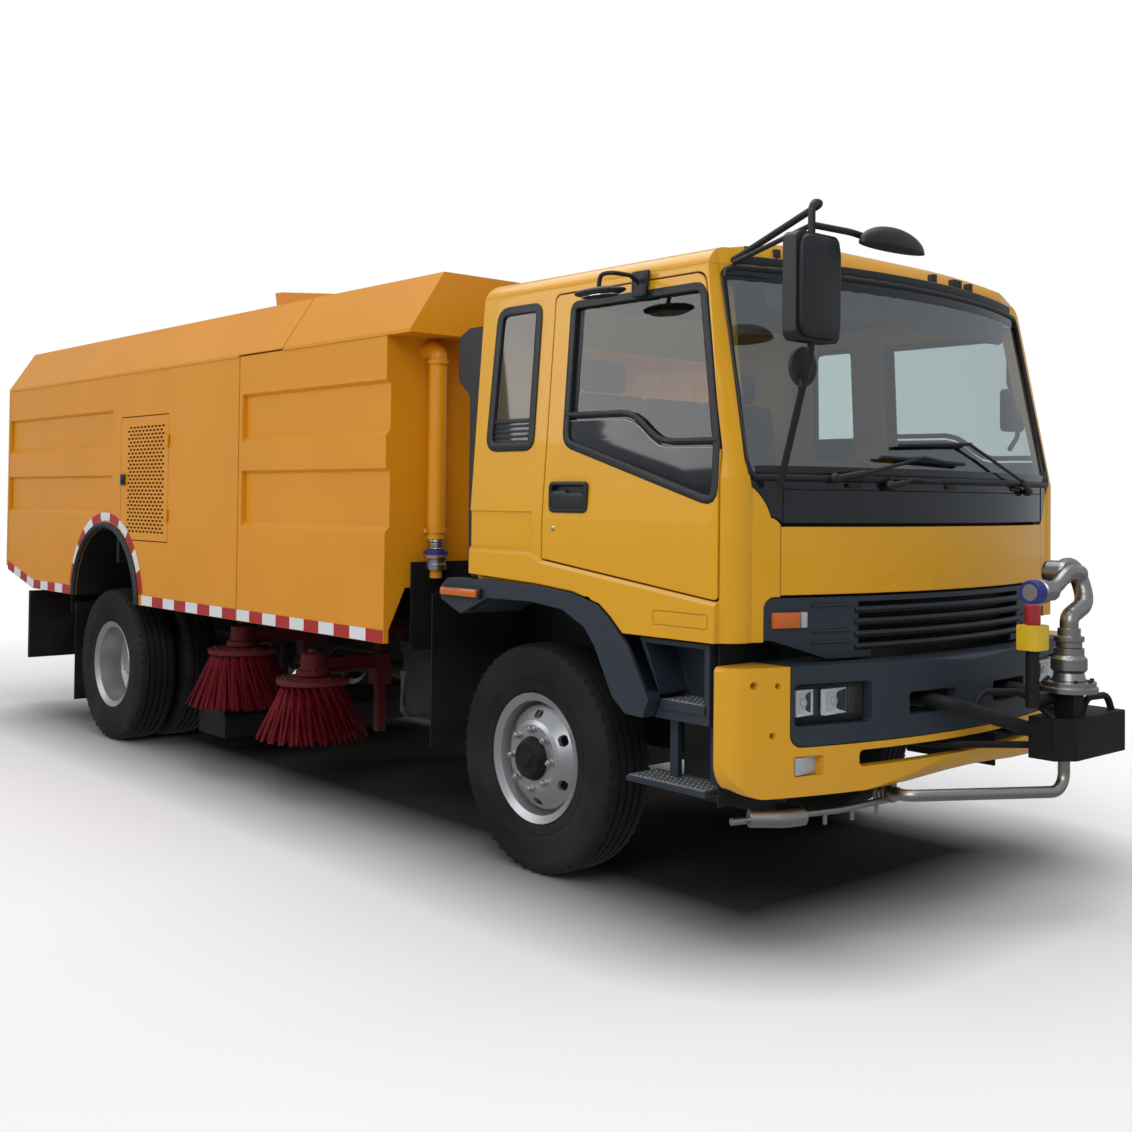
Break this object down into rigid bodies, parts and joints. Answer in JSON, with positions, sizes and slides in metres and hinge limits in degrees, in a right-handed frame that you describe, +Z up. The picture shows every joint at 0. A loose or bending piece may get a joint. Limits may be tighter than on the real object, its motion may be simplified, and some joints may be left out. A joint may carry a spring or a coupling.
{
  "type": "street sweeper truck",
  "caption": "Forward-control lorry with a washing and sweeping body: disc brushes, suction mouth, front water cannon and rear-tipping hopper.",
  "frame": {"origin": "on the ground below the centre of the truck's box", "axes": "+X the truck's left, +Y its rear, +Z up"},
  "size_m": [2.7197, 8.1695, 2.89],
  "materials": {
    "cab_yellow": "gloss",
    "body_orange": "gloss",
    "trim_blue_grey": "satin",
    "black_panel": "gloss",
    "black_plastic": "matte",
    "frame_black": "satin",
    "wheel_silver": "satin",
    "tyre": "matte",
    "glass": "clear",
    "lamp_clear": "clear",
    "steel_pipe": "polished",
    "brush_red": "matte",
    "arm_red": "satin",
    "cast_metal": "rough",
    "seat_fabric": "woven",
    "chrome_rod": "polished"
  },
  "bodies": {
    "chassis": {"frame_rails": "frame_black", "front_axle_beam": "cast_metal", "rear_axle": "cast_metal", "propshaft": "cast_metal", "leaf_springs": "cast_metal", "engine_blocks": "cast_metal", "side_tanks": "frame_black", "cab_shell": "cab_yellow", "cab_roof": "cab_yellow", "windshield": "glass", "cab_glass": "glass", "cowl_panel": "black_panel", "grille": "trim_blue_grey", "dashboard": "black_plastic", "seats": "seat_fabric", "bumper": "cab_yellow", "bumper_centre": "trim_blue_grey", "headlamps": "lamp_clear", "fenders": "trim_blue_grey", "cab_steps": "trim_blue_grey", "mirrors": "black_plastic", "tank_body": "body_orange", "body_pipe": "body_orange", "intake_stack": "black_plastic", "rear_guard": "frame_black", "suction_nozzle": "frame_black", "brush_posts": "arm_red", "cannon_base": "frame_black", "spray_pipes": "steel_pipe"},
    "knuckle_left": {"knuckle_left": "cast_metal"},
    "knuckle_right": {"knuckle_right": "cast_metal"},
    "front_wheel_left": {"front_tyre_left": "tyre", "front_rim_left": "wheel_silver"},
    "front_wheel_right": {"front_tyre_right": "tyre", "front_rim_right": "wheel_silver"},
    "rear_wheel_left": {"rear_tyres_left": "tyre", "rear_rims_left": "wheel_silver"},
    "rear_wheel_right": {"rear_tyres_right": "tyre", "rear_rims_right": "wheel_silver"},
    "door_left": {"door_left": "cab_yellow", "door_glass_left": "glass", "door_mirror_left": "black_plastic"},
    "door_right": {"door_right": "cab_yellow", "door_glass_right": "glass"},
    "front_lid": {"front_lid": "cab_yellow"},
    "hopper": {"hopper_shell": "body_orange"},
    "rear_door": {"rear_door": "body_orange"},
    "grille_door": {"grille_door": "body_orange"},
    "lift_barrel": {"lift_barrel": "frame_black"},
    "lift_rod": {"lift_rod": "chrome_rod"},
    "cannon_head": {"cannon_head": "steel_pipe"},
    "cannon_nozzle": {"cannon_nozzle": "steel_pipe"},
    "arm_front_left": {"arm_front_left": "arm_red"},
    "brush_front_left": {"brush_front_left": "brush_red"},
    "arm_front_right": {"arm_front_right": "arm_red"},
    "brush_front_right": {"brush_front_right": "brush_red"},
    "arm_rear_left": {"arm_rear_left": "arm_red"},
    "brush_rear_left": {"brush_rear_left": "brush_red"},
    "arm_rear_right": {"arm_rear_right": "arm_red"},
    "brush_rear_right": {"brush_rear_right": "brush_red"}
  },
  "joints": [
    {"name": "steer_left", "type": "hinge", "parent": "chassis", "child": "knuckle_left", "pos_m": [0.702, -2.145, 0.503], "axis": [0, 0, 1], "range_deg": [-33, 33]},
    {"name": "steer_right", "type": "hinge", "parent": "chassis", "child": "knuckle_right", "pos_m": [-0.702, -2.145, 0.503], "axis": [0, 0, 1], "range_deg": [-33, 33]},
    {"name": "front_wheel_left_spin", "type": "hinge", "parent": "knuckle_left", "child": "front_wheel_left", "pos_m": [0.95, -2.145, 0.503], "axis": [1, 0, 0], "continuous": true},
    {"name": "rear_wheel_left_spin", "type": "hinge", "parent": "chassis", "child": "rear_wheel_left", "pos_m": [1, 2.105, 0.503], "axis": [1, 0, 0], "continuous": true},
    {"name": "front_wheel_right_spin", "type": "hinge", "parent": "knuckle_right", "child": "front_wheel_right", "pos_m": [-0.95, -2.145, 0.503], "axis": [1, 0, 0], "continuous": true},
    {"name": "rear_wheel_right_spin", "type": "hinge", "parent": "chassis", "child": "rear_wheel_right", "pos_m": [-1, 2.105, 0.503], "axis": [1, 0, 0], "continuous": true},
    {"name": "door_left_swing", "type": "hinge", "parent": "chassis", "child": "door_left", "pos_m": [1.19, -3.325, 1.8], "axis": [0, 0, -1], "range_deg": [0, 68]},
    {"name": "door_right_swing", "type": "hinge", "parent": "chassis", "child": "door_right", "pos_m": [-1.19, -3.325, 1.8], "axis": [0, 0, 1], "range_deg": [0, 68]},
    {"name": "front_lid_lift", "type": "hinge", "parent": "chassis", "child": "front_lid", "pos_m": [0, -3.597, 1.545], "axis": [-1, 0, 0], "range_deg": [0, 70]},
    {"name": "hopper_tip", "type": "hinge", "parent": "chassis", "child": "hopper", "pos_m": [0, 3.905, 0.905], "axis": [-1, 0, 0], "range_deg": [0, 45]},
    {"name": "rear_door_swing", "type": "hinge", "parent": "hopper", "child": "rear_door", "pos_m": [0, 4.071, 2.752], "axis": [1, 0, 0], "range_deg": [0, 85]},
    {"name": "grille_door_swing", "type": "hinge", "parent": "hopper", "child": "grille_door", "pos_m": [-1.249, 1.193, 1.75], "axis": [0, 0, 1], "range_deg": [0, 110]},
    {"name": "lift_barrel_swing", "type": "hinge", "parent": "chassis", "child": "lift_barrel", "pos_m": [0, 1.605, 0.8], "axis": [1, 0, 0], "range_deg": [0, 20]},
    {"name": "lift_rod_stroke", "type": "slide", "parent": "lift_barrel", "child": "lift_rod", "axis": [0, 0.9648, 0.2631], "range_m": [0, 0.8]},
    {"name": "arm_front_left_lower", "type": "slide", "parent": "chassis", "child": "arm_front_left", "axis": [0, 0, -1], "range_m": [0, 0.27]},
    {"name": "brush_front_left_spin", "type": "hinge", "parent": "arm_front_left", "child": "brush_front_left", "pos_m": [1, -0.165, 0.29], "axis": [0, 0, 1], "continuous": true},
    {"name": "arm_front_right_lower", "type": "slide", "parent": "chassis", "child": "arm_front_right", "axis": [0, 0, -1], "range_m": [0, 0.27]},
    {"name": "brush_front_right_spin", "type": "hinge", "parent": "arm_front_right", "child": "brush_front_right", "pos_m": [-1, -0.165, 0.29], "axis": [0, 0, 1], "continuous": true},
    {"name": "arm_rear_left_lower", "type": "slide", "parent": "chassis", "child": "arm_rear_left", "axis": [0, 0, -1], "range_m": [0, 0.36]},
    {"name": "brush_rear_left_spin", "type": "hinge", "parent": "arm_rear_left", "child": "brush_rear_left", "pos_m": [1, 0.655, 0.38], "axis": [0, 0, 1], "continuous": true},
    {"name": "arm_rear_right_lower", "type": "slide", "parent": "chassis", "child": "arm_rear_right", "axis": [0, 0, -1], "range_m": [0, 0.36]},
    {"name": "brush_rear_right_spin", "type": "hinge", "parent": "arm_rear_right", "child": "brush_rear_right", "pos_m": [-1, 0.655, 0.38], "axis": [0, 0, 1], "continuous": true},
    {"name": "cannon_slew", "type": "hinge", "parent": "chassis", "child": "cannon_head", "pos_m": [0.185, -3.975, 1.075], "axis": [0, 0, 1], "range_deg": [0, 180]},
    {"name": "cannon_tilt", "type": "hinge", "parent": "cannon_head", "child": "cannon_nozzle", "pos_m": [0.155, -3.94, 1.372], "axis": [0, 1, 0], "range_deg": [-30, 30]}
  ],
  "couplings": [
    {"joint": "steer_right", "follows": "steer_left", "ratio": 1},
    {"joint": "lift_barrel_swing", "follows": "hopper_tip", "ratio": 0.427},
    {"joint": "lift_rod_stroke", "follows": "hopper_tip", "m_per_rad": 1.003}
  ]
}
